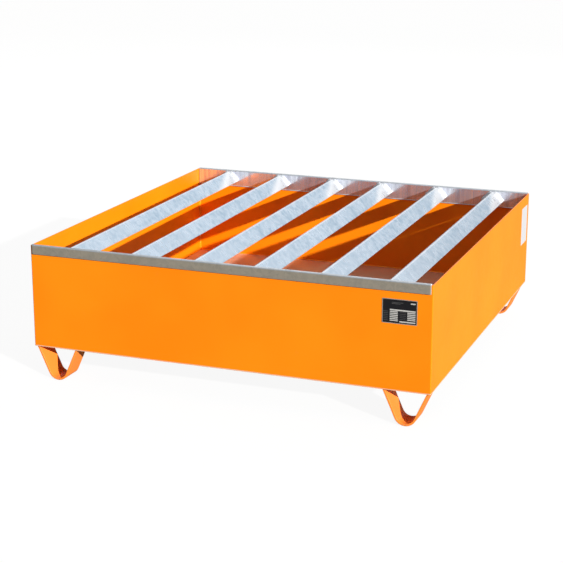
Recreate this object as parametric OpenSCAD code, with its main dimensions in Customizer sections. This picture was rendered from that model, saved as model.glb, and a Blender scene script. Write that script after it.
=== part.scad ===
// Spill containment pallet: a welded sheet-steel sump tray on four bent feet,
// with a lift-out frame of angle bars that carries drums above the sump.
// Millimetres, +Z up. The origin is on the ground under the middle of the tray,
// X runs along the front, the bars run along Y, and the front faces -Y.

/* [Tray] */
// Width of the tray along the front, outside
tray_w = 1200; // [900:10:1600]
// Depth of the tray from front to rear, outside
tray_d = 1200; // [900:10:1600]
// Height of the tray from its underside to the rim
tray_h = 304; // [200:1:420]
// Thickness of the sheet that the tray is made of
sheet_t = 3; // [2:0.5:4]
// Leg length of the sealing welds inside the tray
seam_leg = 4; // [2:0.5:6]

/* [Feet] */
// Height of the feet, which is the clearance for fork tines
foot_h = 100; // [80:1:130]
// Span of one foot along X where it meets the tray
foot_span = 132; // [110:1:180]
// Outer radius of the bend at the bottom of a foot
foot_bend_r = 33; // [20:1:40]
// Width of the flat bar that a foot is bent from
foot_bar_w = 70; // [40:1:100]
// Thickness of the flat bar that a foot is bent from
foot_bar_t = 6; // [4:1:8]
// Distance from the tray's outer faces to a foot
foot_inset = 5; // [4:1:40]
// Leg length of the welds between the feet and the tray
foot_weld_leg = 5; // [3:0.5:6]

/* [Support rails] */
// Thickness of the galvanised rail
rail_t = 3; // [2:0.5:4]
// Overall height of the rail's outer flange
rail_outer_h = 28; // [15:1:40]
// Overall height of the rail's inner flange, which the bars are welded to
rail_inner_h = 57; // [48:1:80]
// Inner radius of the rail's two folds
rail_fold_r = 0.5; // [0.5:0.5:1]
// Free space between the hooked rail and the wall, on each side
rail_gap = 1; // [1:0.5:2]
// Distance from the tray's outer side faces to the ends of a rail
rail_end_gap = 5; // [4:0.5:10]

/* [Support bars] */
// Leg length of the angle bars
bar_leg = 50; // [40:1:55]
// Thickness of the angle bars
bar_t = 4; // [3:0.5:5]
// Outer radius of the angle bars' ridge
bar_ridge_r = 6; // [5.5:0.5:8]
// Distance between the two middle bars, ridge to ridge
bar_middle_gap = 179; // [150:1:220]
// Distance between the other bars, ridge to ridge
bar_pitch = 194.5; // [150:0.5:210]
// Depth of the bars' ridges below the rails' top
bar_drop = 4; // [3:0.5:8]
// Leg length of the welds at the bars' ends
bar_weld_leg = 8; // [2:0.5:8]

/* [Plate and label] */
// Width of the nameplate
plate_w = 97; // [60:1:150]
// Height of the nameplate
plate_h = 68; // [40:1:100]
// Thickness of the nameplate
plate_t = 1; // [0.5:0.5:2]
// Distance from the tray's right face to the nameplate's right edge
plate_side_gap = 42; // [20:1:200]
// Distance from the rim to the nameplate's top edge
plate_rim_gap = 47; // [35:1:100]
// Width of the label on the right wall
label_w = 80; // [50:1:120]
// Height of the label on the right wall
label_h = 123; // [60:1:150]
// Thickness of the label
label_t = 0.3; // [0.2:0.1:0.5]
// Distance from the tray's rear face to the label
label_rear_gap = 23; // [10:1:200]
// Distance from the rim to the label's top edge
label_rim_gap = 32; // [20:1:100]

/* [Hidden] */
$fn = 64;

paint = "#ff9010";
galvanised = "#b9bfc6";
plate_black = "#1c1c1f";
label_white = "#f2f2ee";

floor_z = foot_h;                          // underside of the floor sheet
sump_z = floor_z + sheet_t;                // top of the floor sheet
rim_z = floor_z + tray_h;                  // top of the walls
wall_h = rim_z - sump_z;                   // height of a wall standing on the floor sheet
inner_w = tray_w - 2 * sheet_t;            // inside width, between the side walls
inner_d = tray_d - 2 * sheet_t;            // inside depth, between the end walls

rail_top_z = rim_z + rail_t;               // top of the rails
rail_len = tray_w - 2 * rail_end_gap;
rail_top_w = sheet_t + 2 * (rail_gap + rail_t);     // overall width of a rail's top
rail_face_y = tray_d / 2 + rail_gap + rail_t;       // outer face of a rail, from the middle
bar_len = 2 * (rail_face_y - rail_top_w);           // clear length between the two rails
bar_top_z = rail_top_z - bar_drop;
// The sharp corner that the two outer faces of a bar would meet in, above the round ridge
bar_corner_rise = (sqrt(2) - 1) * bar_ridge_r;
bar_x = [for (side = [-1, 1], k = [0:2])
            side * (bar_middle_gap / 2 + (side < 0 ? 2 - k : k) * bar_pitch)];

// Tangent construction of a foot: its limbs leave the bend at the angle limb_a
limb_rise = foot_h - foot_bend_r;
limb_reach = norm([foot_span / 2, limb_rise]);
limb_a = atan2(limb_rise, foot_span / 2) - acos(foot_bend_r / limb_reach);
limb_slope = 90 + limb_a;                  // slope of a limb above the ground
limb_inner_x = foot_span / 2 - foot_bar_t / sin(limb_slope);
foot_bend_steps = 24;                      // flats round a foot's bend, an even number

foot_x = tray_w / 2 - foot_inset - foot_span / 2;
foot_y = tray_d / 2 - foot_inset - foot_bar_w / 2;

// A quarter of a folded sheet's cross-section, centred on the fold, from angle turn to turn + 90
module fold_quarter(inner_r, t, turn) {
    rotate(turn) intersection() {
        difference() {
            circle(inner_r + t);
            circle(inner_r);
        }
        square(inner_r + t);
    }
}

// Cross-section of a rail's leg with its fold: x is inwards from its face, y is up from the top
module rail_leg_section(leg_h) {
    outer_r = rail_fold_r + rail_t;
    translate([0, -leg_h]) square([rail_t, leg_h - outer_r]);
    translate([outer_r, -outer_r]) fold_quarter(rail_fold_r, rail_t, 90);
}

// Cross-section of an angle bar with its ridge up, hanging from its sharp corner at the origin
module bar_section() {
    rotate(225) {
        translate([bar_ridge_r, 0]) square([bar_leg - bar_ridge_r, bar_t]);
        translate([0, bar_ridge_r]) square([bar_t, bar_leg - bar_ridge_r]);
        translate([bar_ridge_r, bar_ridge_r]) fold_quarter(bar_ridge_r - bar_t, bar_t, 180);
    }
}

// Points on an arc about the origin, from one angle to another
function arc_points(r, from, to) =
    [for (i = [0:foot_bend_steps])
        let (a = from + (to - from) * i / foot_bend_steps) r * [cos(a), sin(a)]];

// Cross-section of a foot, standing on y = 0 and cut off level with the tray's underside
module foot_section() {
    rise = [0, foot_bend_r];
    outer_arc = arc_points(foot_bend_r, -180 - limb_a, limb_a);
    inner_arc = arc_points(foot_bend_r - foot_bar_t, limb_a, -180 - limb_a);
    polygon(concat([[-foot_span / 2, foot_h]],
                   [for (p = outer_arc) p + rise],
                   [[foot_span / 2, foot_h], [limb_inner_x, foot_h]],
                   [for (p = inner_arc) p + rise],
                   [[-limb_inner_x, foot_h]]));
}

// A straight fillet weld of triangular section in the corner between two faces at angle a
module weld_bead(leg, length, a = 90) {
    linear_extrude(length, center = true)
        polygon([[0, 0], [leg, 0], leg * [cos(a), sin(a)]]);
}

// Turns a section drawn in Y and Z so that it runs along X
module along_x(length) {
    rotate([90, 0, 90]) linear_extrude(length, center = true) children();
}

// Turns a section drawn in X and Z so that it runs along Y
module along_y(length) {
    rotate([90, 0, 0]) linear_extrude(length, center = true) children();
}

module floor_sheet() {
    color(paint) translate([-tray_w / 2, -tray_d / 2, floor_z]) cube([tray_w, tray_d, sheet_t]);
}

// An end wall between the side walls. depth is -1 for front and 1 for rear
module end_wall(depth) {
    color(paint) translate([0, depth * (tray_d - sheet_t) / 2, sump_z + wall_h / 2])
        cube([inner_w, sheet_t, wall_h], center = true);
}

// A side wall over the tray's full depth. side is -1 for left and 1 for right
module side_wall(side) {
    color(paint) translate([side * (tray_w - sheet_t) / 2, 0, sump_z + wall_h / 2])
        cube([sheet_t, tray_d, wall_h], center = true);
}

module front_wall() { end_wall(-1); }
module rear_wall() { end_wall(1); }
module left_wall() { side_wall(-1); }
module right_wall() { side_wall(1); }

// The upright sealing welds in the tray's four inner corners, which stop clear of the rails
module corner_welds() {
    low = sump_z + seam_leg;
    high = rail_top_z - rail_inner_h - 2 * rail_gap;
    color(paint) for (mx = [0, 1], my = [0, 1])
        mirror([mx, 0, 0]) mirror([0, my, 0])
            translate([-inner_w / 2, -inner_d / 2, (low + high) / 2])
                weld_bead(seam_leg, high - low);
}

// The sealing welds along the floor's four edges, inside the tray
module floor_welds() {
    color(paint) for (m = [0, 1]) {
        mirror([0, m, 0]) translate([0, -inner_d / 2, sump_z])
            rotate([90, 0, 90]) weld_bead(seam_leg, inner_w - 2 * seam_leg);
        mirror([m, 0, 0]) translate([-inner_w / 2, 0, sump_z])
            mirror([0, 1, 0]) rotate([90, 0, 0]) weld_bead(seam_leg, inner_d - 2 * seam_leg);
    }
}

// A foot bent from flat bar. side is -1 for left and 1 for right, depth is -1 for front and 1 for rear
module foot(side, depth) {
    color(paint) translate([side * foot_x, depth * foot_y, 0]) along_y(foot_bar_w) foot_section();
}

module foot_front_left() { foot(-1, -1); }
module foot_front_right() { foot(1, -1); }
module foot_rear_left() { foot(-1, 1); }
module foot_rear_right() { foot(1, 1); }

// The welds in the sharp corner between each limb and the tray's underside
module foot_welds() {
    color(paint) for (side = [-1, 1], depth = [-1, 1], limb = [0, 1])
        translate([side * foot_x, depth * foot_y, floor_z])
            mirror([limb, 0, 0]) translate([limb_inner_x, 0, 0])
                rotate([90, 0, 0]) rotate(180) weld_bead(foot_weld_leg, foot_bar_w, limb_slope);
}

module nameplate() {
    color(plate_black)
        translate([tray_w / 2 - plate_side_gap - plate_w, -tray_d / 2 - plate_t,
                   rim_z - plate_rim_gap - plate_h])
            cube([plate_w, plate_t, plate_h]);
}

module side_label() {
    color(label_white)
        translate([tray_w / 2, tray_d / 2 - label_rear_gap - label_w,
                   rim_z - label_rim_gap - label_h])
            cube([label_t, label_w, label_h]);
}

// Sweeps a cross-section along one rail: x is inwards from the rail's outer face, y is up
module along_rail(rear) {
    color(galvanised) mirror([0, rear, 0]) translate([0, -rail_face_y, rail_top_z])
        along_x(rail_len) children();
}

// The flat strip between a rail's two folds, which rests on the wall
module rail_top(rear) {
    outer_r = rail_fold_r + rail_t;
    along_rail(rear) translate([outer_r, -rail_t]) square([rail_top_w - 2 * outer_r, rail_t]);
}

module rail_flange(rear) {
    along_rail(rear) rail_leg_section(rail_outer_h);
}

module rail_plate(rear) {
    along_rail(rear) translate([rail_top_w, 0]) mirror([1, 0]) rail_leg_section(rail_inner_h);
}

module front_rail_top() { rail_top(0); }
module front_rail_flange() { rail_flange(0); }
module front_rail_plate() { rail_plate(0); }
module rear_rail_top() { rail_top(1); }
module rear_rail_flange() { rail_flange(1); }
module rear_rail_plate() { rail_plate(1); }

// One angle bar. k counts the bars from the left, starting at 0
module support_bar(k) {
    color(galvanised) translate([bar_x[k], 0, bar_top_z + bar_corner_rise])
        along_y(bar_len) bar_section();
}

module support_bar_1() { support_bar(0); }
module support_bar_2() { support_bar(1); }
module support_bar_3() { support_bar(2); }
module support_bar_4() { support_bar(3); }
module support_bar_5() { support_bar(4); }
module support_bar_6() { support_bar(5); }

// The fillet welds on the outer faces of every bar's two legs, where they meet one rail
module bar_end_welds(rear) {
    color(galvanised) mirror([0, rear, 0]) for (x = bar_x, leg = [0, 1])
        translate([x, -bar_len / 2, bar_top_z + bar_corner_rise])
            mirror([leg, 0, 0]) rotate([0, 45, 0])
                translate([(bar_ridge_r + bar_leg) / 2, 0, 0])
                    rotate([90, 0, 90]) weld_bead(bar_weld_leg, bar_leg - bar_ridge_r);
}

module front_bar_welds() { bar_end_welds(0); }
module rear_bar_welds() { bar_end_welds(1); }

floor_sheet();
front_wall();
rear_wall();
left_wall();
right_wall();
corner_welds();
floor_welds();
foot_front_left();
foot_front_right();
foot_rear_left();
foot_rear_right();
foot_welds();
nameplate();
side_label();
front_rail_top();
front_rail_flange();
front_rail_plate();
rear_rail_top();
rear_rail_flange();
rear_rail_plate();
support_bar_1();
support_bar_2();
support_bar_3();
support_bar_4();
support_bar_5();
support_bar_6();
front_bar_welds();
rear_bar_welds();
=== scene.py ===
"""A square spill containment pallet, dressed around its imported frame.

A welded sheet-steel sump tray stands on four feet bent from flat bar.  A loose frame of
galvanised angle bars straddles the tray's front and rear walls and carries the drums.

Lengths are in metres.  X runs along the front, the bars run along Y, Z is up, the front
faces -Y and the ground is z = 0.
"""

from __future__ import annotations

import logging
import math
import random
from dataclasses import dataclass, field
from enum import Enum
from typing import Any, Callable, Mapping, Sequence, Union

import bmesh
import bpy
from mathutils import Euler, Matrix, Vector


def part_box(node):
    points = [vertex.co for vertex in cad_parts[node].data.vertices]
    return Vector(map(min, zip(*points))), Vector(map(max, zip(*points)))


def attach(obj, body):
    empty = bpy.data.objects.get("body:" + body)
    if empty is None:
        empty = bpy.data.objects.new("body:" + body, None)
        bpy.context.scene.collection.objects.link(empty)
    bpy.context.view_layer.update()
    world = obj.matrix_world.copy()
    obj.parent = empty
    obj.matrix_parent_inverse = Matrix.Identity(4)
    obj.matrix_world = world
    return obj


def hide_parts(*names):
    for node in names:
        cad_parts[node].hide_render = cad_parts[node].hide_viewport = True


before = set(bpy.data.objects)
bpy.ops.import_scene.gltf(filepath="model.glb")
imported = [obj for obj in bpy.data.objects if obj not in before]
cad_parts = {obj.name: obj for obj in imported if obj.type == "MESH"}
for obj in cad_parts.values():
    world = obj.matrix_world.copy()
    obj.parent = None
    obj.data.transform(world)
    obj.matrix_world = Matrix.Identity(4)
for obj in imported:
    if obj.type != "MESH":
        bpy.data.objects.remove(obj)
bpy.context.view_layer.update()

Colour = tuple[float, float, float]
Point = tuple[float, float]
Number = Union[int, float, "Signal"]

MM = 0.001
log = logging.getLogger("spill_pallet")


# ---------------------------------------------------------------- shader formulas


class Signal:
    """One shader output, written into formulas whose operators add Math nodes."""

    def __init__(self, tree: bpy.types.NodeTree, socket: bpy.types.NodeSocket) -> None:
        """Keeps the tree and the output socket.

        Args:
            tree: The node tree that the socket belongs to.
            socket: The output socket.
        """
        self.tree = tree
        self.socket = socket

    def _math(self, operation: str, first: Number, second: Number) -> Signal:
        """Adds one Math node.

        Args:
            operation: The Math node's operation.
            first: Its first value.
            second: Its second value.

        Returns:
            The node's output.
        """
        node = self.tree.nodes.new("ShaderNodeMath")
        node.operation = operation
        for place, value in zip(node.inputs, (first, second)):
            feed(self.tree, place, value)
        return Signal(self.tree, node.outputs[0])

    def __add__(self, other: Number) -> Signal:
        """Returns self + other."""
        return self._math("ADD", self, other)

    def __radd__(self, other: Number) -> Signal:
        """Returns other + self."""
        return self._math("ADD", other, self)

    def __sub__(self, other: Number) -> Signal:
        """Returns self - other."""
        return self._math("SUBTRACT", self, other)

    def __rsub__(self, other: Number) -> Signal:
        """Returns other - self."""
        return self._math("SUBTRACT", other, self)

    def __mul__(self, other: Number) -> Signal:
        """Returns self * other."""
        return self._math("MULTIPLY", self, other)

    def __rmul__(self, other: Number) -> Signal:
        """Returns other * self."""
        return self._math("MULTIPLY", other, self)


def feed(tree: bpy.types.NodeTree, place: bpy.types.NodeSocket, value: Any) -> None:
    """Links a signal into an input socket, or sets a plain value on it.

    Args:
        tree: The node tree.
        place: The input socket.
        value: A signal, a number, or a colour or vector of three numbers.
    """
    if isinstance(value, Signal):
        tree.links.new(value.socket, place)
    elif place.type == "RGBA":
        place.default_value = (*value[:3], 1.0)
    else:
        place.default_value = value


class Shade:
    """The node tree of one material or world, built node by node."""

    def __init__(self, tree: bpy.types.NodeTree) -> None:
        """Empties the tree.

        Args:
            tree: The node tree to fill.
        """
        self.tree = tree
        tree.nodes.clear()

    def add(
        self,
        kind: str,
        inputs: Mapping[Union[str, int], Any],
        settings: Mapping[str, Any] | None = None,
        output: Union[str, int] = 0,
    ) -> Signal:
        """Adds a node of any type.

        Args:
            kind: The node's type, without its ShaderNode prefix.
            inputs: Values or signals by the socket's name or number.
            settings: Properties set before the inputs; "stops" holds a ramp's places and colours.
            output: The name or number of the output to return.

        Returns:
            The chosen output.
        """
        node = self.tree.nodes.new("ShaderNode" + kind)
        for key, value in (settings or {}).items():
            if key == "stops":
                self._set_stops(node.color_ramp, value)
            else:
                setattr(node, key, value)
        for key, value in inputs.items():
            feed(self.tree, node.inputs[key], value)
        return Signal(self.tree, node.outputs[output])

    @staticmethod
    def _set_stops(ramp: bpy.types.ColorRamp, stops: Sequence[tuple[float, Colour]]) -> None:
        """Puts a colour ramp's stops in place.

        Args:
            ramp: The ramp, which starts with two stops.
            stops: Places from 0 to 1, each with its colour.
        """
        while len(ramp.elements) < len(stops):
            ramp.elements.new(0.5)
        for element, (place, colour) in zip(ramp.elements, stops):
            element.position = place
            element.color = (*colour, 1.0)

    def here(self, stretch: Colour = (1.0, 1.0, 1.0)) -> Signal:
        """The place on the piece, in metres, with each axis multiplied by a factor."""
        place = self.add("TexCoord", {}, output="Object")
        return self.add("VectorMath", {0: place, 1: stretch}, {"operation": "MULTIPLY"})

    def axis(self, name: str) -> Signal:
        """The place on the piece along X, Y or Z, in metres."""
        return self.add("SeparateXYZ", {0: self.add("TexCoord", {}, output="Object")}, output=name)

    def noise(self, where: Signal, scale: float, detail: float = 3.0, rough: float = 0.55) -> Signal:
        """Smooth noise from 0 to 1 with features of about 1 / scale metres."""
        inputs = {"Vector": where, "Scale": scale, "Detail": detail, "Roughness": rough}
        return self.add("TexNoise", inputs)

    def band(self, value: Signal, low: float, high: float) -> Signal:
        """A smooth step from 0 at low to 1 at high."""
        inputs = {"Value": value, "From Min": low, "From Max": high}
        return self.add("MapRange", inputs, {"interpolation_type": "SMOOTHSTEP"})

    def blend(self, mask: Number, first: Any, second: Any) -> Signal:
        """Mixes two colours: the first where the mask is 0, the second where it is 1."""
        inputs = {0: mask, 6: first, 7: second}
        return self.add("Mix", inputs, {"data_type": "RGBA"}, output=2)

    def relief(self, height: Signal, depth: float, under: Signal | None = None) -> Signal:
        """Turns a height from 0 to 1 into a surface normal.

        Args:
            height: The height.
            depth: The height in metres that 1 stands for.
            under: A normal to start from.

        Returns:
            The bent normal.
        """
        inputs: dict[Union[str, int], Any] = {"Height": height, "Distance": depth, "Strength": 1.0}
        if under is not None:
            inputs["Normal"] = under
        return self.add("Bump", inputs)

    def close(self, surface: Signal) -> None:
        """Ends the tree with its output node."""
        self.add_output("OutputMaterial", surface)

    def add_output(self, kind: str, surface: Signal) -> None:
        """Adds an output node of the given type and links the surface into it."""
        node = self.tree.nodes.new("ShaderNode" + kind)
        self.tree.links.new(surface.socket, node.inputs["Surface"])


# ---------------------------------------------------------------- finishes


@dataclass(frozen=True)
class Finish:
    """What every finish shares: a name, and a principled shader that it fills in."""

    name: str

    def material(self) -> bpy.types.Material:
        """The finish's material, made the first time it is asked for."""
        made = bpy.data.materials.get(self.name)
        if made is None:
            made = bpy.data.materials.new(self.name)
            made.use_nodes = True
            shade = Shade(made.node_tree)
            shade.close(shade.add("BsdfPrincipled", self.sockets(shade)))
        return made

    def sockets(self, shade: Shade) -> dict[Union[str, int], Any]:
        """The principled shader's values and signals; each finish has its own."""
        raise NotImplementedError


@dataclass(frozen=True)
class PowderCoat(Finish):
    """Orange powder coat baked on sheet steel, scuffed near the ground if asked."""

    colour: Colour = (0.90, 0.208, 0.0008)
    faded: Colour = (0.92, 0.235, 0.0020)
    bare: Colour = (0.16, 0.14, 0.13)
    dust: Colour = (0.58, 0.46, 0.36)
    dusty: float = 0.0
    roughness: float = 0.38
    gloss: float = 0.25
    peel_scale: float = 420.0
    peel_depth: float = 0.00003
    wave_depth: float = 0.0002
    scuff_top: float = 0.0

    def sockets(self, shade: Shade) -> dict[Union[str, int], Any]:
        """Colour drift, fine dust, orange-peel texture, sheet waviness and ground scuffs."""
        where = shade.here()
        drift = shade.noise(where, 3.2, 2.0)
        grime = shade.noise(where, 38.0, 6.0, 0.7)
        specks = shade.band(shade.noise(where, 900.0, 1.0), 0.70, 0.80)
        colour = shade.blend(shade.band(drift, 0.3, 0.72), self.colour, self.faded)
        colour = shade.blend(specks * 0.10, colour, self.faded)
        colour = shade.blend(shade.band(grime, 0.62, 0.80) * 0.07, colour, self.bare)
        rough = self.roughness - 0.05 + 0.10 * grime + 0.10 * specks
        if self.dusty > 0.0:
            settled = shade.band(0.6 * drift + 0.4 * grime, 0.30, 0.62) * 0.5 + 0.5
            colour = shade.blend(settled * self.dusty, colour, self.dust)
        if self.scuff_top > 0.0:
            rim = shade.band(shade.axis("Z"), self.scuff_top, 0.0)
            patchy = shade.band(shade.noise(shade.here((1.0, 0.35, 1.0)), 210.0, 5.0, 0.7), 0.46, 0.60)
            worn = rim * patchy
            colour = shade.blend(worn * 0.75, colour, self.bare)
            rough = rough + 0.22 * worn
        waves = shade.relief(shade.noise(shade.here((1.0, 1.0, 1.3)), 5.0, 1.0), self.wave_depth)
        peel = shade.relief(shade.noise(where, self.peel_scale, 2.0), self.peel_depth, waves)
        return {
            "Base Color": colour,
            "Roughness": rough,
            "Normal": peel,
            "Specular IOR Level": self.gloss,
            "Coat Weight": 0.04,
            "Coat Roughness": 0.22,
        }


@dataclass(frozen=True)
class Galvanised(Finish):
    """Hot-dip zinc on steel: spangle, cloudy patches and run marks along one axis."""

    bright: Colour = (0.70, 0.77, 0.84)
    dull: Colour = (0.47, 0.53, 0.60)
    tarnish: Colour = (0.33, 0.34, 0.36)
    metallic: float = 0.85
    roughness: float = 0.40
    spangle: float = 95.0
    runs: Colour = (1.0, 1.0, 1.0)
    tarnished: float = 0.25
    run_depth: float = 0.00004
    mottle: float = 0.10
    blend_of: Colour = (0.42, 0.38, 0.20)
    # Painted highlight: a lighter band, in the colour worn, along the top of the ridge, standing for the
    # shine of its rounded top.
    ridge_highlight_top: float | None = None
    worn: Colour = (0.72, 0.75, 0.80)
    ridge_highlight_fade: float = 0.0014
    # Painted sunlight: a light patch on the bar's rear end, standing for sun reflected onto it off the inner
    # plate.
    painted_sun_patch: Colour | None = None
    sun_patch_end: float = 0.593
    sun_patch_top: float = 0.413
    sun_patch_slope: float = 4.0
    sun_patch_fade: Point = (-0.03, 0.06)
    # Painted sheen: the bar is blended towards its bright colour along its front half, standing for a
    # brighter reflection there than near the rear.
    painted_sheen_start: float = -0.05
    painted_sheen_stop: float = -0.45
    painted_sheen_share: float = 0.45

    def sockets(self, shade: Shade) -> dict[Union[str, int], Any]:
        """Spangle cells, cloudy tone, run marks, a fine grain in the gloss, and on the bars a painted sun
        patch, a painted sheen and a painted ridge highlight.
        """
        where = shade.here()
        warp = shade.noise(where, 55.0, 2.0)
        bend = shade.add("VectorMath", {0: (0.012, 0.012, 0.012), 1: warp}, {"operation": "MULTIPLY"})
        bent = shade.add("VectorMath", {0: where, 1: bend}, {"operation": "ADD"})
        cells = shade.add("TexVoronoi", {"Vector": bent, "Scale": self.spangle}, output="Color")
        tone = shade.add("SeparateXYZ", {0: cells}, output="X")
        clouds = shade.noise(where, 16.0, 4.0, 0.6)
        marks = shade.noise(shade.here(self.runs), 130.0, 5.0, 0.65)
        cloudy, marked, toned = self.blend_of
        shine = shade.band(cloudy * clouds + marked * marks + toned * tone, 0.30, 0.66)
        stain = shade.band(shade.noise(shade.here(self.runs), 46.0, 5.0, 0.7), 0.50, 0.74)
        colour = shade.blend(shine, self.dull, self.bright)
        colour = shade.blend(stain * self.tarnished, colour, self.tarnish)
        if self.painted_sun_patch is not None:
            # Painted sheen: lighter towards the front end, darker towards the rear.
            front = shade.band(shade.axis("Y"), self.painted_sheen_start, self.painted_sheen_stop)
            # Painted sunlight on the rear end, reaching further forward low on the leg than at the ridge.
            reach = (self.sun_patch_top - shade.axis("Z")) * self.sun_patch_slope - (self.sun_patch_end - shade.axis("Y"))
            sun_patch = shade.band(reach + 0.03 * clouds, *self.sun_patch_fade)
            colour = shade.blend(front * self.painted_sheen_share, colour, self.bright)
            colour = shade.blend(sun_patch, colour, self.painted_sun_patch)
        # Painted highlight along the top of the ridge.
        if self.ridge_highlight_top is not None:
            high = shade.axis("Z") + 0.0008 * clouds
            worn = shade.band(high, self.ridge_highlight_top, self.ridge_highlight_top + self.ridge_highlight_fade)
            colour = shade.blend(worn * 0.5, colour, self.worn)
        grain = shade.noise(where, 1400.0, 1.0)
        rough = self.roughness - 0.07 + 0.16 * (1.0 - shine) + 0.06 * grain
        height = 0.65 * marks + self.mottle * tone + 0.25 * clouds
        return {
            "Base Color": colour,
            "Metallic": self.metallic,
            "Roughness": rough,
            "Normal": shade.relief(height, self.run_depth),
        }


@dataclass(frozen=True)
class BrushedPlate(Finish):
    """Aluminium plate with a fine grain along X, anodised or bare."""

    colour: Colour = (0.6, 0.6, 0.6)
    worn: Colour = (0.7, 0.7, 0.7)
    metallic: float = 0.9
    roughness: float = 0.35

    def sockets(self, shade: Shade) -> dict[Union[str, int], Any]:
        """Brushed grain and faint finger marks."""
        grain = shade.noise(shade.here((0.06, 1.0, 1.0)), 2600.0, 3.0)
        marks = shade.band(shade.noise(shade.here(), 55.0, 4.0), 0.52, 0.75)
        return {
            "Base Color": shade.blend(0.35 * grain + 0.25 * marks, self.colour, self.worn),
            "Metallic": self.metallic,
            "Roughness": self.roughness + 0.12 * marks + 0.06 * grain,
            "Normal": shade.relief(grain, 0.00001),
        }


@dataclass(frozen=True)
class Film(Finish):
    """White self-adhesive film with a faint weave and a few flat bubbles."""

    colour: Colour = (0.48, 0.48, 0.49)
    edge: Colour = (0.41, 0.405, 0.39)

    def sockets(self, shade: Shade) -> dict[Union[str, int], Any]:
        """Slight yellowing, weave and bubbles."""
        where = shade.here()
        yellow = shade.band(shade.noise(where, 24.0, 4.0), 0.50, 0.80)
        bubbles = shade.band(shade.noise(where, 95.0, 1.0), 0.66, 0.78)
        weave = shade.noise(where, 1800.0, 1.0)
        return {
            "Base Color": shade.blend(yellow * 0.35, self.colour, self.edge),
            "Roughness": 0.42 + 0.10 * weave,
            "Normal": shade.relief(bubbles * 0.8 + weave * 0.2, 0.00008),
        }


@dataclass(frozen=True)
class PaleFloor(Finish):
    """Matt studio floor: white to look at, with a faint shadow, and modest as a bounce."""

    colour: Colour = (0.20, 0.20, 0.195)
    glow: float = 0.60
    white: float = 1.54

    def material(self) -> bpy.types.Material:
        """The floor's material, a diffuse shader under an even glow for the eye."""
        made = bpy.data.materials.new(self.name)
        made.use_nodes = True
        shade = Shade(made.node_tree)
        fleck = shade.blend(shade.noise(shade.here(), 6.0, 2.0), self.colour, (0.19, 0.19, 0.19))
        matt = shade.add("BsdfDiffuse", {"Color": fleck})
        white = shade.add("Emission", {"Color": (1.0, 1.0, 1.0), "Strength": self.white})
        seen = shade.add("LightPath", {}, output="Is Camera Ray")
        shade.close(shade.add("MixShader", {0: seen * self.glow, 1: matt, 2: white}))
        return made


class Coat(Enum):
    """The finishes on this pallet."""

    SHEET = PowderCoat("sheet_powder_coat")
    FLOOR = PowderCoat("floor_powder_coat", dusty=0.80)
    # Painted light: the feet's coat is paler and yellower than the sheet's, standing for how washed out their
    # sunlit faces look; the scuffs near the ground are wear.
    FOOT = PowderCoat("foot_powder_coat", colour=(0.90, 0.235, 0.030), faded=(0.92, 0.27, 0.045),
                      scuff_top=0.009, wave_depth=0.00015)
    # Painted highlight: the weld coat is a lighter orange than the sheet's, standing for the shine along the
    # beads; it is also glossier.
    SEAM = PowderCoat("seam_powder_coat", colour=(0.95, 0.300, 0.006), roughness=0.24, gloss=0.5,
                      wave_depth=0.0001)
    RAIL = Galvanised("rail_zinc", bright=(0.58, 0.62, 0.66), dull=(0.46, 0.50, 0.54), roughness=0.34,
                      metallic=0.7, runs=(0.35, 1.0, 1.0))
    # Painted shade: the outer flange gets a darker, browner copy of the rail's zinc, standing for the dark
    # ground that it faces.
    FLANGE = Galvanised("flange_zinc", bright=(0.46, 0.41, 0.33), dull=(0.36, 0.33, 0.27),
                        tarnish=(0.25, 0.23, 0.20), metallic=0.6, roughness=0.42, tarnished=0.4,
                        runs=(0.5, 1.0, 1.0))
    # Painted reflection: the inner plate gets a brighter, bluer copy of the rail's zinc, so its reflections
    # of the sunlit tray read brighter.
    INNER = Galvanised("inner_plate_zinc", bright=(0.90, 0.93, 1.00), dull=(0.60, 0.62, 0.74),
                       tarnish=(0.36, 0.36, 0.48), metallic=0.86, roughness=0.16, tarnished=0.6,
                       runs=(1.0, 1.0, 0.05), run_depth=0.00001, mottle=0.0, blend_of=(0.18, 0.78, 0.04))
    # The bars carry painted light: a sun patch on their rear ends, a lighter front half and a highlight along
    # the ridge.
    BAR = Galvanised("bar_zinc", bright=(0.41, 0.49, 0.58), dull=(0.26, 0.36, 0.46),
                     tarnish=(0.20, 0.28, 0.38), metallic=0.55, roughness=0.30, runs=(0.35, 1.0, 0.35),
                     painted_sun_patch=(0.64, 0.66, 0.69), run_depth=0.00002, ridge_highlight_top=0.4012)
    WELD = Galvanised("weld_zinc", bright=(0.66, 0.69, 0.73), dull=(0.50, 0.53, 0.57), metallic=0.5,
                      roughness=0.46, spangle=260.0, run_depth=0.0001)
    PLATE = BrushedPlate("plate_black", (0.006, 0.006, 0.008), (0.013, 0.013, 0.015), 0.2, 0.40)
    BARE = BrushedPlate("plate_bare", (0.62, 0.61, 0.58), (0.74, 0.73, 0.70), 0.4, 0.42)
    BORDER = BrushedPlate("plate_border", (0.42, 0.38, 0.33), (0.52, 0.48, 0.42), 0.5, 0.45)
    GREY = BrushedPlate("plate_grey", (0.12, 0.12, 0.12), (0.18, 0.18, 0.18), 0.4, 0.45)
    LABEL = Film("label_film")


# ---------------------------------------------------------------- mesh building


class Along(Enum):
    """The axis that a cross-section is swept along, with the axes of its two numbers."""

    X = (0, 1, 2)
    Y = (1, 0, 2)
    Z = (2, 0, 1)


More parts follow.
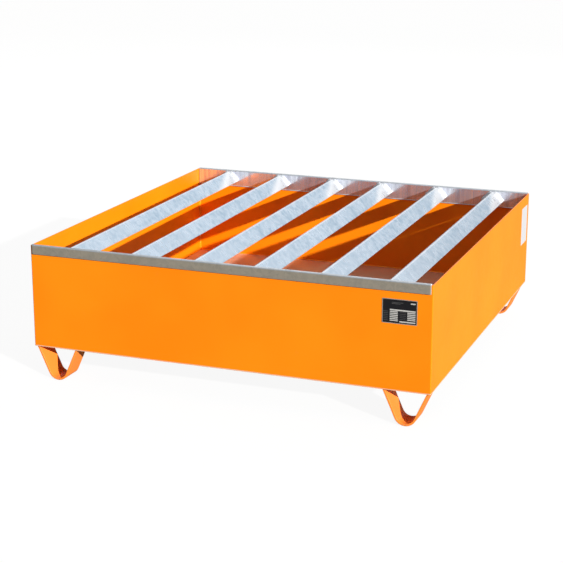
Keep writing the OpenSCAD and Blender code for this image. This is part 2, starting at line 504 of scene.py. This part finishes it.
def arc(centre: Point, radius: float, start: float, stop: float, steps: int = 10) -> list[Point]:
    """Points on an arc.

    Args:
        centre: The arc's centre.
        radius: Its radius.
        start: The angle of its first point, in degrees.
        stop: The angle of its last point, in degrees.
        steps: The number of flats.

    Returns:
        The points, both ends included.
    """
    angles = (math.radians(start + (stop - start) * i / steps) for i in range(steps + 1))
    return [(centre[0] + radius * math.cos(a), centre[1] + radius * math.sin(a)) for a in angles]


def rounded_rectangle(low: Point, high: Point, radius: float, steps: int = 6) -> list[Point]:
    """The outline of a rectangle with round corners.

    Args:
        low: Its lowest corner.
        high: Its highest corner.
        radius: The corners' radius.
        steps: The flats in each corner.

    Returns:
        The outline's points.
    """
    centres = ((high[0], high[1], -1, -1, 0), (low[0], high[1], 1, -1, 90),
               (low[0], low[1], 1, 1, 180), (high[0], low[1], -1, 1, 270))
    outline: list[Point] = []
    for x, y, inward_x, inward_y, start in centres:
        centre = (x + inward_x * radius, y + inward_y * radius)
        outline += arc(centre, radius, start, start + 90, steps)
    return outline


def mesh_object(name: str, build: bmesh.types.BMesh, coats: Sequence[Coat],
                crease: float = 35.0) -> bpy.types.Object:
    """Turns a finished bmesh into an object in the scene.

    Args:
        name: The object's name.
        build: The bmesh, which is freed.
        coats: The finishes of its material slots.
        crease: Edges sharper than this many degrees stay sharp.

    Returns:
        The object.
    """
    bmesh.ops.recalc_face_normals(build, faces=build.faces)
    mesh = bpy.data.meshes.new(name)
    build.to_mesh(mesh)
    build.free()
    mesh.shade_smooth()
    mesh.set_sharp_from_angle(angle=math.radians(crease))
    for coat in coats:
        mesh.materials.append(coat.value.material())
    thing = bpy.data.objects.new(name, mesh)
    bpy.context.scene.collection.objects.link(thing)
    return thing


def even_normals(thing: bpy.types.Object) -> None:
    """Lets large flat faces decide the shading at their rounded edges."""
    weigh = thing.modifiers.new("even_normals", "WEIGHTED_NORMAL")
    weigh.keep_sharp = True
    weigh.weight = 90


def soften(thing: bpy.types.Object, radius: float, segments: int = 3) -> None:
    """Rounds every sharp edge of an object.

    Args:
        thing: The object.
        radius: The rounding's width.
        segments: Its number of flats.
    """
    bevel = thing.modifiers.new("softened_edges", "BEVEL")
    bevel.width = radius
    bevel.segments = segments
    bevel.limit_method = "ANGLE"
    bevel.angle_limit = math.radians(40.0)
    bevel.use_clamp_overlap = True
    bevel.miter_outer = "MITER_ARC"
    even_normals(thing)


def sweep(build: bmesh.types.BMesh, outline: Sequence[Point], along: Along,
          *stations: float) -> list[bmesh.types.BMFace]:
    """Sweeps a closed cross-section straight along an axis.

    Args:
        build: The bmesh to add to.
        outline: The section's points.
        along: The axis.
        *stations: The places on it that get a ring of points, the two ends included.

    Returns:
        The new faces: the two caps, then the sides, in the outline's order.
    """
    run, first, second = along.value
    rings = []
    for station in stations:
        ring = []
        for a, b in outline:
            place = [0.0, 0.0, 0.0]
            place[run] = station
            place[first] = a
            place[second] = b
            ring.append(build.verts.new(place))
        rings.append(ring)
    faces = [build.faces.new(rings[0]), build.faces.new(rings[-1])]
    for near, far in zip(rings, rings[1:]):
        for i in range(len(near)):
            j = (i + 1) % len(near)
            faces.append(build.faces.new((near[i], near[j], far[j], far[i])))
    return faces


def round_edges(build: bmesh.types.BMesh, radius: float, chosen: Callable[[Vector, Vector], bool],
                segments: int = 4) -> None:
    """Rounds the edges that a test picks.

    Args:
        build: The bmesh.
        radius: The rounding's radius.
        chosen: Tells from an edge's two ends whether it is rounded.
        segments: The rounding's number of flats.
    """
    edges = [e for e in build.edges if chosen(e.verts[0].co, e.verts[1].co) and len(e.link_faces) == 2
             and e.calc_face_angle() > math.radians(30.0)]
    bmesh.ops.bevel(build, geom=edges, offset=radius, segments=segments, profile=0.5, affect="EDGES",
                    clamp_overlap=True)


@dataclass(frozen=True)
class Bead:
    """A fillet weld laid in the corner between two faces, with the ripples of its passes."""

    start: Vector
    stop: Vector
    first: Vector
    second: Vector
    leg: float
    pitch: float = 0.0032
    rows: int = 4
    columns: int = 7
    crown: float = 0.22
    ripple: float = 0.055

    def lay(self, build: bmesh.types.BMesh, hand: random.Random) -> None:
        """Adds the bead to a bmesh.

        Args:
            build: The bmesh.
            hand: The welder's unsteady hand, which varies the bead along its run.
        """
        run = self.stop - self.start
        count = max(8, round(run.length / self.pitch * self.rows))
        outwards = (self.first + self.second).normalized()
        phase, sway = hand.uniform(0.0, 6.28), hand.uniform(0.0, 6.28)
        rings = []
        for k in range(count + 1):
            along = k / count * run.length
            ends = min(along, run.length - along) / self.leg
            size = self.leg * (0.55 + 0.45 * min(1.0, ends) ** 0.5)
            size *= 1.0 + 0.035 * math.sin(along * 71.0 + phase) + 0.025 * math.sin(along * 173.0 + sway)
            root = self.start + run * (k / count) - outwards * 0.0004
            ring = [root]
            for c in range(self.columns + 1):
                t = c / self.columns
                swell = math.sin(math.pi * t)
                turn = (along / self.pitch + 0.35 * swell + 0.08 * math.sin(along * 97.0 + phase)) % 1.0
                lift = self.crown * swell + self.ripple * swell ** 0.5 * (1.0 - turn) ** 0.6
                ring.append(root + size * ((1.0 - t) * self.first + t * self.second + lift * outwards))
            rings.append([build.verts.new(p) for p in ring])
        build.faces.new(rings[0])
        build.faces.new(rings[-1])
        for near, far in zip(rings, rings[1:]):
            for i in range(len(near)):
                j = (i + 1) % len(near)
                build.faces.new((near[i], near[j], far[j], far[i]))


@dataclass
class Piece:
    """What every sub-assembly shares: the body it belongs to and how its pieces are handed in."""

    body: str
    made: list[str] = field(default_factory=list)

    def hand_in(self, thing: bpy.types.Object, slot: str, *nodes: str) -> bpy.types.Object:
        """Fixes a piece to its body and hides the nodes that it stands for.

        Args:
            thing: The finished piece.
            slot: The record's material slot; not used.
            *nodes: The nodes that it replaces.

        Returns:
            The piece.
        """
        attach(thing, self.body)
        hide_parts(*nodes)
        self.made.append(thing.name)
        return thing

    def report(self) -> None:
        """Does nothing; the pieces made so far stay listed in made."""


# ---------------------------------------------------------------- the sump tray


@dataclass
class SumpTray(Piece):
    """The welded tray: a floor sheet, two side walls and two end walls."""

    sheet: float = 3.0 * MM
    corner_radius: float = 2.6 * MM
    underside_radius: float = 2.2 * MM
    edge_radius: float = 0.9 * MM
    seam_leg: float = 4.0 * MM

    def build(self) -> None:
        """Makes the five sheets and the sealing welds."""
        self.floor_sheet()
        for side in ("left", "right"):
            self.side_wall(side)
        for end in ("front", "rear"):
            self.end_wall(end)
        self.corner_seams()
        self.floor_seams()

    def floor_sheet(self) -> None:
        """The floor, with its outer lower edges rounded as a fold would be."""
        low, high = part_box("floor_sheet")
        build = bmesh.new()
        outline = rounded_rectangle((low[0], low[1]), (high[0], high[1]), self.corner_radius, 4)
        sweep(build, outline, Along.Z, low[2], high[2])
        round_edges(build, self.underside_radius, lambda a, b: max(a.z, b.z) < low[2] + 1e-5)
        sheet = mesh_object("floor_panel", build, [Coat.FLOOR])
        even_normals(sheet)
        self.hand_in(sheet, "tray_paint", "floor_sheet")

    def side_wall(self, side: str) -> None:
        """One side wall; its outer upright edges are rounded.

        Args:
            side: "left" or "right".
        """
        low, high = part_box(side + "_wall")
        out = 1.0 if side == "right" else -1.0
        face = high[0] if side == "right" else low[0]
        inner = face - out * self.sheet
        r = self.corner_radius
        turn = 0 if side == "right" else 180
        rear = arc((face - out * r, high[1] - r), r, turn, 90, 4)
        front = arc((face - out * r, low[1] + r), r, -90 if side == "right" else 270, turn, 4)
        outline = rear + [(inner, high[1]), (inner, low[1])] + front
        build = bmesh.new()
        sweep(build, outline, Along.Z, low[2], high[2])
        round_edges(build, self.edge_radius, lambda a, b: min(a.z, b.z) > high[2] - 1e-5, 3)
        wall = mesh_object(side + "_panel", build, [Coat.SHEET])
        even_normals(wall)
        self.hand_in(wall, "tray_paint", side + "_wall")

    def end_wall(self, end: str) -> None:
        """One end wall between the side walls, its sheared top edge dressed.

        Args:
            end: "front" or "rear".
        """
        low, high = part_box(end + "_wall")
        outline = [(low[1], low[2]), (high[1], low[2]), (high[1], high[2]), (low[1], high[2])]
        build = bmesh.new()
        sweep(build, outline, Along.X, low[0], high[0])
        round_edges(build, self.edge_radius, lambda a, b: min(a.z, b.z) > high[2] - 1e-5
                    and abs(a.x - b.x) > 0.5, 3)
        wall = mesh_object(end + "_panel", build, [Coat.SHEET])
        even_normals(wall)
        self.hand_in(wall, "tray_paint", end + "_wall")

    def corner_seams(self) -> None:
        """The four upright sealing welds."""
        low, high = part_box("corner_welds")
        build = bmesh.new()
        for x, y in ((low[0], low[1]), (high[0], low[1]), (low[0], high[1]), (high[0], high[1])):
            first = Vector((-math.copysign(1.0, x), 0.0, 0.0))
            second = Vector((0.0, -math.copysign(1.0, y), 0.0))
            bead = Bead(Vector((x, y, low[2])), Vector((x, y, high[2])), first, second, self.seam_leg)
            bead.lay(build, random.Random(f"corner {x:.3f} {y:.3f}"))
        seams = mesh_object("corner_seams", build, [Coat.SEAM], 70.0)
        self.hand_in(seams, "seam_paint", "corner_welds")

    def floor_seams(self) -> None:
        """The four sealing welds round the floor."""
        low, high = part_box("floor_welds")
        z, leg, up = low[2], self.seam_leg, Vector((0.0, 0.0, 1.0))
        build = bmesh.new()
        for x in (low[0], high[0]):
            across = Vector((-math.copysign(1.0, x), 0.0, 0.0))
            ends = Vector((x, low[1] + leg, z)), Vector((x, high[1] - leg, z))
            Bead(*ends, across, up, leg).lay(build, random.Random(f"side {x:.3f}"))
        for y in (low[1], high[1]):
            across = Vector((0.0, -math.copysign(1.0, y), 0.0))
            ends = Vector((low[0] + leg, y, z)), Vector((high[0] - leg, y, z))
            Bead(*ends, across, up, leg).lay(build, random.Random(f"end {y:.3f}"))
        seams = mesh_object("floor_seams", build, [Coat.SEAM], 70.0)
        self.hand_in(seams, "seam_paint", "floor_welds")


@dataclass
class BentFeet(Piece):
    """Four feet, each bent from one flat bar into a loop and welded under the tray."""

    bar: float = 6.0 * MM
    bend_radius: float = 33.0 * MM
    edge_radius: float = 0.9 * MM
    weld_leg: float = 5.0 * MM
    bend_steps: int = 48

    def build(self) -> None:
        """Makes the four feet and their welds."""
        for depth in ("front", "rear"):
            for side in ("left", "right"):
                self.foot(f"foot_{depth}_{side}")
        self.welds()

    def slope(self, half_span: float, height: float) -> float:
        """The angle at which a limb leaves the bend, in degrees above the horizontal radius.

        Args:
            half_span: Half the foot's span at its top.
            height: The foot's height.

        Returns:
            The angle of the tangent point, which is below the horizontal when negative.
        """
        rise = height - self.bend_radius
        reach = math.hypot(half_span, rise)
        return math.degrees(math.atan2(rise, half_span) - math.acos(self.bend_radius / reach))

    def foot(self, node: str) -> None:
        """One foot.

        Args:
            node: The node that it replaces.
        """
        low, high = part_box(node)
        middle, half, height = (low[0] + high[0]) / 2, (high[0] - low[0]) / 2, high[2] - low[2]
        angle = self.slope(half, height)
        inner_half = half - self.bar / math.cos(math.radians(angle))
        centre = (middle, low[2] + self.bend_radius)
        outline = [(middle - half, high[2])]
        outline += arc(centre, self.bend_radius, -180.0 - angle, angle, self.bend_steps)
        outline += [(middle + half, high[2]), (middle + inner_half, high[2])]
        outline += arc(centre, self.bend_radius - self.bar, angle, -180.0 - angle, self.bend_steps)
        outline += [(middle - inner_half, high[2])]
        build = bmesh.new()
        sweep(build, outline, Along.Y, low[1], high[1])
        loop = mesh_object(node + "_loop", build, [Coat.FOOT])
        soften(loop, self.edge_radius)
        self.hand_in(loop, "foot_paint", node)

    def welds(self) -> None:
        """The weld in the sharp corner between each limb and the tray's underside."""
        build = bmesh.new()
        for depth in ("front", "rear"):
            for side in ("left", "right"):
                low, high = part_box(f"foot_{depth}_{side}")
                middle, half = (low[0] + high[0]) / 2, (high[0] - low[0]) / 2
                angle = math.radians(self.slope(half, high[2] - low[2]))
                inner_half = half - self.bar / math.cos(angle)
                for out in (-1.0, 1.0):
                    x = middle + out * inner_half
                    along_sheet = Vector((-out, 0.0, 0.0))
                    down_limb = Vector((out * math.sin(angle), 0.0, -math.cos(angle)))
                    ends = Vector((x, low[1] + 1.5 * MM, high[2])), Vector((x, high[1] - 1.5 * MM, high[2]))
                    bead = Bead(*ends, along_sheet, down_limb, self.weld_leg, crown=0.16)
                    bead.lay(build, random.Random(f"{depth} {side} {out}"))
        welds = mesh_object("foot_weld_beads", build, [Coat.SEAM], 70.0)
        self.hand_in(welds, "seam_paint", "foot_welds")


# ---------------------------------------------------------------- plate and label


@dataclass
class Nameplate(Piece):
    """A black plate with a bare border and blank data fields, and the plain label on the side."""

    corner_radius: float = 2.0 * MM
    border: float = 1.7 * MM
    proud: float = 0.12 * MM
    rows: int = 6
    row_top: float = 0.50
    row_bottom: float = 0.93
    row_fill: float = 0.58
    low: Sequence[float] = field(init=False)
    high: Sequence[float] = field(init=False)

    def build(self) -> None:
        """Makes the plate and the label."""
        self.plate()
        self.label()

    def plate(self) -> None:
        """The plate, with its border and fields standing a hair proud."""
        low, high = self.low, self.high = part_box("nameplate")
        build = bmesh.new()
        outline = rounded_rectangle((low[0], low[2]), (high[0], high[2]), self.corner_radius)
        sweep(build, outline, Along.Y, low[1], high[1])
        self.ring(build, outline)
        for left, right, top, bottom, coat in self.fields():
            self.pad(build, left, right, top, bottom, coat)
        plate = mesh_object("data_plate", build, [Coat.PLATE, Coat.BARE, Coat.GREY, Coat.BORDER])
        self.hand_in(plate, "nameplate_black", "nameplate")

    def ring(self, build: bmesh.types.BMesh, outline: Sequence[Point]) -> None:
        """The bare border round the plate.

        Args:
            build: The plate's bmesh.
            outline: The plate's outline, as X and Z.
        """
        low, high, w = self.low, self.high, self.border
        near, far = (low[0] + w, low[2] + w), (high[0] - w, high[2] - w)
        inner = rounded_rectangle(near, far, self.corner_radius / 2)
        back, front = low[1] + 0.05 * MM, low[1] - self.proud
        loops = []
        for points, y in ((outline, back), (outline, front), (inner, front), (inner, back)):
            loops.append([build.verts.new((x, y, z)) for x, z in points])
        for loop, following in zip(loops, loops[1:] + loops[:1]):
            for i in range(len(loop)):
                j = (i + 1) % len(loop)
                face = build.faces.new((loop[i], loop[j], following[j], following[i]))
                face.material_index = 3

    def fields(self) -> list[tuple[float, float, float, float, int]]:
        """The blank fields, as shares of the plate's width and height from its top left.

        Returns:
            Left, right, top and bottom, and the material slot: 1 for bare metal, 2 for grey print.
        """
        found = [
            (0.27, 0.60, 0.135, 0.150, 2),
            (0.27, 0.52, 0.185, 0.200, 2),
            (0.81, 0.95, 0.115, 0.165, 1),
            (0.22, 0.95, 0.420, 0.475, 1),
            (0.49, 0.95, 0.880, 0.930, 1),
        ]
        pitch = (self.row_bottom - self.row_top) / self.rows
        for k in range(self.rows):
            top = self.row_top + k * pitch
            bottom = top + pitch * self.row_fill
            line = (top + bottom) / 2
            found.append((0.22, 0.45, top, bottom, 1))
            found.append((0.035, 0.17, line - 0.006, line + 0.006, 2))
            if k < self.rows - 1:
                found.append((0.72, 0.95, top, bottom, 1))
                found.append((0.50, 0.69, line - 0.006, line + 0.006, 2))
        return found

    def pad(self, build: bmesh.types.BMesh, left: float, right: float, top: float, bottom: float,
            slot: int) -> None:
        """One raised field with round corners.

        Args:
            build: The plate's bmesh.
            left: Its left edge, as a share of the plate's width.
            right: Its right edge.
            top: Its upper edge, as a share of the plate's height from the top.
            bottom: Its lower edge.
            slot: Its material slot.
        """
        low, high = self.low, self.high
        width, height = high[0] - low[0], high[2] - low[2]
        corner = (low[0] + left * width, high[2] - bottom * height)
        far = (low[0] + right * width, high[2] - top * height)
        radius = 0.2 * min(far[0] - corner[0], far[1] - corner[1])
        outline = rounded_rectangle(corner, far, radius, 2)
        for face in sweep(build, outline, Along.Y, low[1] + 0.05 * MM, low[1] - self.proud * 0.6):
            face.material_index = slot

    def label(self) -> None:
        """The plain film label on the right wall, its edges pressed down."""
        low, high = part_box("side_label")
        build = bmesh.new()
        outline = rounded_rectangle((low[1], low[2]), (high[1], high[2]), 2.5 * MM)
        sweep(build, outline, Along.X, low[0], high[0])
        round_edges(build, 0.12 * MM, lambda a, b: min(a.x, b.x) > high[0] - 1e-6, 2)
        label = mesh_object("film_label", build, [Coat.LABEL])
        even_normals(label)
        self.hand_in(label, "label_white", "side_label")


# ---------------------------------------------------------------- the support frame


@dataclass
class SupportFrame(Piece):
    """The lift-out frame: two hooked rails joined by six angle bars with their ridges up."""

    rail_sheet: float = 3.0 * MM
    rail_fold: float = 0.5 * MM
    end_length: float = 5.0 * MM
    end_depth: float = 2.5 * MM
    flange_height: float = 28.0 * MM
    bead_radius: float = 1.4 * MM
    bar_leg: float = 50.0 * MM
    bar_sheet: float = 4.0 * MM
    ridge_radius: float = 6.0 * MM
    toe_radius: float = 1.6 * MM
    weld_leg: float = 8.0 * MM
    bars: int = 6

    def build(self) -> None:
        """Makes the rails, the bars and the welds between them."""
        for end in ("front", "rear"):
            self.rail(end)
        for k in range(1, self.bars + 1):
            self.bar(k)
        for end in ("front", "rear"):
            self.end_welds(end)

    def rail(self, end: str) -> None:
        """One rail, folded twice so that it straddles the wall's top edge.

        Args:
            end: "front" or "rear".
        """
        nodes = [f"{end}_rail_{part}" for part in ("top", "flange", "plate")]
        corners = [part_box(node) for node in nodes]
        low = tuple(min(box[0][axis] for box in corners) for axis in range(3))
        high = tuple(max(box[1][axis] for box in corners) for axis in range(3))
        out = -1.0 if end == "front" else 1.0
        face, plate = (low[1], high[1]) if end == "front" else (high[1], low[1])
        t, r, top = self.rail_sheet, self.rail_fold, high[2]
        outer = (face - out * (t + r), top - t - r)
        inner = (plate + out * (t + r), top - t - r)
        away, back = (180, 0) if end == "front" else (0, 180)
        flange = top - self.flange_height
        outline = [(face, flange)] + arc(outer, t + r, away, 90, 8) + arc(inner, t + r, 90, back, 8)
        outline += [(plate, low[2]), (plate + out * t, low[2])]
        outline += arc(inner, r, back, 90, 6) + arc(outer, r, 90, away, 6) + [(face - out * t, flange)]
        build = bmesh.new()
        steps = [self.end_length * share for share in (0.0, 0.1, 0.25, 0.5, 1.0)]
        stations = [low[0] + step for step in steps] + [high[0] - step for step in reversed(steps)]
        for wall in sweep(build, outline, Along.X, *stations):
            middle = wall.calc_center_median()
            # Slot 1 holds the outer flange's darker copy of the zinc, painted shade.
            if abs(middle.y - face) < 1e-6:
                wall.material_index = 1
            # Slot 2 holds the inner plate's brighter copy of the zinc, a painted reflection.
            elif abs(middle.y - plate) < 1e-6:
                wall.material_index = 2
        self.dress_ends(build, outer, out, high[0])
        self.edge_bead(build, plate, low[2], low[0], high[0], out)
        rail = mesh_object(end + "_hook_rail", build, [Coat.RAIL, Coat.FLANGE, Coat.INNER, Coat.WELD])
        soften(rail, 0.5 * MM)
        self.hand_in(rail, "rail_galvanised", *nodes)

    def edge_bead(self, build: bmesh.types.BMesh, plate: float, bottom: float, left: float, right: float,
                  out: float) -> None:
        """The bead of zinc that hung along the inner plate's lower edge as it drained.

        Args:
            build: The rail's bmesh.
            plate: The inner plate's face, as Y.
            bottom: Its lower edge, as Z.
            left: Its left end, as X.
            right: Its right end.
            out: The sign of Y on the rail's outer side.
        """
        r = self.bead_radius
        centre = (plate + out * r * 0.4, bottom + r)
        outline = [(centre[0] + r * math.cos(a), centre[1] + r * math.sin(a))
                   for a in (math.tau * k / 12 for k in range(12))]
        inset = 1.0 * MM
        for side in sweep(build, outline, Along.X, left + inset, right - inset):
            side.material_index = 3

    def dress_ends(self, build: bmesh.types.BMesh, fold: Point, out: float, tip: float) -> None:
        """Rounds the two sheared ends of a rail's outer flange.

        Args:
            build: The rail's bmesh.
            fold: The centre of the outer fold, as Y and Z.
            out: The sign of Y on the rail's outer side.
            tip: The rail's end, as X.
        """
        full = self.rail_sheet + self.rail_fold
        for vert in build.verts:
            nearness = 1.0 - min(1.0, (tip - abs(vert.co.x)) / self.end_length)
            depth = self.end_depth * (1.0 - math.sqrt(1.0 - nearness ** 2))
            sideways, upwards = (vert.co.y - fold[0]) * out, max(0.0, vert.co.z - fold[1])
            if sideways > 0.0 and math.hypot(sideways, upwards) > full - 1e-5:
                share = (sideways / full) ** 2
                vert.co.y -= out * depth * share * sideways / full
                vert.co.z -= depth * share * upwards / full

    def bar(self, number: int) -> None:
        """One angle bar, ridge up.

        Args:
            number: The bar's number, counted from the left.
        """
        node = f"support_bar_{number}"
        low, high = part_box(node)
        t, r, leg, toe = self.bar_sheet, self.ridge_radius, self.bar_leg, self.toe_radius
        right_leg = [(leg, 0.3 * MM), (leg, t - toe)] + arc((leg - toe, t - toe), toe, 0, 90, 4)
        inside = arc((r, r), r - t, 270, 180, 6)
        left_leg = [(b, a) for a, b in reversed(right_leg)]
        ridge = arc((r, r), r, 180, 270, 14)
        flat = right_leg + inside + left_leg + ridge
        corner = ((low[0] + high[0]) / 2, high[2] + (math.sqrt(2.0) - 1.0) * r)
        half = math.sqrt(0.5)
        outline = [(corner[0] + half * (a - b), corner[1] - half * (a + b)) for a, b in flat]
        build = bmesh.new()
        sweep(build, outline, Along.Y, low[1], high[1])
        bar = mesh_object(f"angle_bar_{number}", build, [Coat.BAR])
        even_normals(bar)
        self.hand_in(bar, "bar_galvanised", node)

    def end_welds(self, end: str) -> None:
        """The welds on the outer faces of the bars' legs at one rail.

        Args:
            end: "front" or "rear".
        """
        build = bmesh.new()
        half = math.sqrt(0.5)
        for k in range(1, self.bars + 1):
            low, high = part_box(f"support_bar_{k}")
            x, z = (low[0] + high[0]) / 2, high[2] + (math.sqrt(2.0) - 1.0) * self.ridge_radius
            y, away = (low[1], 1.0) if end == "front" else (high[1], -1.0)
            for side in (-1.0, 1.0):
                down_leg = Vector((side * half, 0.0, -half))
                lift = Vector((side * half, 0.0, half))
                root = Vector((x, y, z))
                ends = root + down_leg * self.ridge_radius, root + down_leg * self.bar_leg
                bead = Bead(*ends, lift, Vector((0.0, away, 0.0)), self.weld_leg)
                bead.lay(build, random.Random(f"{end} {k} {side}"))
        welds = mesh_object(end + "_weld_beads", build, [Coat.WELD], 70.0)
        self.hand_in(welds, "weld_galvanised", end + "_bar_welds")


# ---------------------------------------------------------------- the studio


@dataclass
class Studio:
    """The floor, the lights and the camera."""

    station: Colour = (1.5762, -4.2837, 1.4796)
    tilt_down: float = 15.69
    turned_left: float = 20.83
    lens: float = 96.48
    to_key: Colour = (0.775, -0.537, 0.333)
    key: float = 6.2
    key_colour: Colour = (1.0, 0.985, 0.96)
    key_softness: float = 0.9
    fill: float = 0.17
    fill_colour: Colour = (0.93, 0.97, 1.0)
    panel_size: tuple[float, float] = (9.0, 5.2)
    panel_place: Colour = (0.6, 6.0, 4.1)
    panel_tilt: float = 28.0
    panel_glow: float = 1.0
    top_size: tuple[float, float] = (6.0, 6.0)
    top_place: Colour = (0.0, 0.0, 4.6)
    top_glow: float = 0.62
    card_size: tuple[float, float] = (3.0, 0.5)
    card_place: Colour = (3.2, 0.0, 0.26)
    card_glow: float = 4.4

    def build(self) -> None:
        """Sets up everything around the object."""
        self.floor()
        self.key_light()
        self.panels()
        self.sky()
        self.camera()

    def floor(self) -> None:
        """A wide pale floor."""
        build = bmesh.new()
        bmesh.ops.create_grid(build, x_segments=8, y_segments=8, size=60.0)
        mesh = bpy.data.meshes.new("studio_floor")
        build.to_mesh(mesh)
        build.free()
        mesh.materials.append(PaleFloor("studio_floor_paint").material())
        floor = bpy.data.objects.new("studio_floor", mesh)
        bpy.context.scene.collection.objects.link(floor)

    def key_light(self) -> None:
        """The main light, from the front right."""
        data = bpy.data.lights.new("key_light", "SUN")
        data.energy = self.key
        data.angle = math.radians(self.key_softness)
        data.color = self.key_colour
        light = bpy.data.objects.new("key_light", data)
        light.rotation_mode = "QUATERNION"
        light.rotation_quaternion = Vector(self.to_key).to_track_quat("Z", "Y")
        light.location = Vector(self.to_key) * 6.0
        bpy.context.scene.collection.objects.link(light)

    def panel(self, name: str, size: tuple[float, float], place: Colour, aim: Euler, glow: float) -> None:
        """A soft panel, which the camera doesn't see.

        Args:
            name: Its name.
            size: Its width and height.
            place: Its middle.
            aim: Its rotation from lying face down.
            glow: Its radiance.
        """
        data = bpy.data.lights.new(name, "AREA")
        data.shape = "RECTANGLE"
        data.size, data.size_y = size
        data.energy = glow * math.pi * data.size * data.size_y
        light = bpy.data.objects.new(name, data)
        light.location = place
        light.rotation_euler = aim
        light.visible_camera = False
        bpy.context.scene.collection.objects.link(light)

    def panels(self) -> None:
        """A big panel behind, one overhead, and a low card that lifts the right side."""
        upright = math.radians(90.0)
        tilt = math.radians(self.panel_tilt)
        self.panel("back_panel", self.panel_size, self.panel_place, Euler((tilt - upright, 0.0, 0.0)),
                   self.panel_glow)
        self.panel("top_panel", self.top_size, self.top_place, Euler((0.0, 0.0, 0.0)), self.top_glow)
        self.panel("side_card", self.card_size, self.card_place, Euler((upright, 0.0, upright)),
                   self.card_glow)

    def sky(self) -> None:
        """Even soft light from all round, with a white backdrop for the eye."""
        world = bpy.data.worlds.new("studio")
        world.use_nodes = True
        bpy.context.scene.world = world
        shade = Shade(world.node_tree)
        seen = shade.add("LightPath", {}, output="Is Camera Ray")
        fill = shade.add("Background", {"Color": self.fill_colour, "Strength": self.fill})
        white = shade.add("Background", {"Color": (1.0, 1.0, 1.0), "Strength": 1.0})
        shade.add_output("OutputWorld", shade.add("MixShader", {0: seen, 1: fill, 2: white}))

    def camera(self) -> None:
        """The camera, in front of the tray and to its right, looking down on it."""
        data = bpy.data.cameras.new("camera")
        data.lens = self.lens
        data.sensor_width = 36.0
        eye = bpy.data.objects.new("camera", data)
        eye.location = self.station
        eye.rotation_euler = Euler((math.radians(90.0 - self.tilt_down), 0.0, math.radians(self.turned_left)))
        bpy.context.scene.collection.objects.link(eye)
        bpy.context.scene.camera = eye
        bpy.context.scene.view_settings.view_transform = "Standard"


def main() -> None:
    """Builds the studio and the pallet, piece by piece."""
    logging.basicConfig(level=logging.INFO, format="%(name)s: %(message)s")
    Studio().build()
    for part in (SumpTray("tray"), BentFeet("tray"), Nameplate("tray"), SupportFrame("support_frame")):
        part.build()
        part.report()


if __name__ == "__main__":
    main()
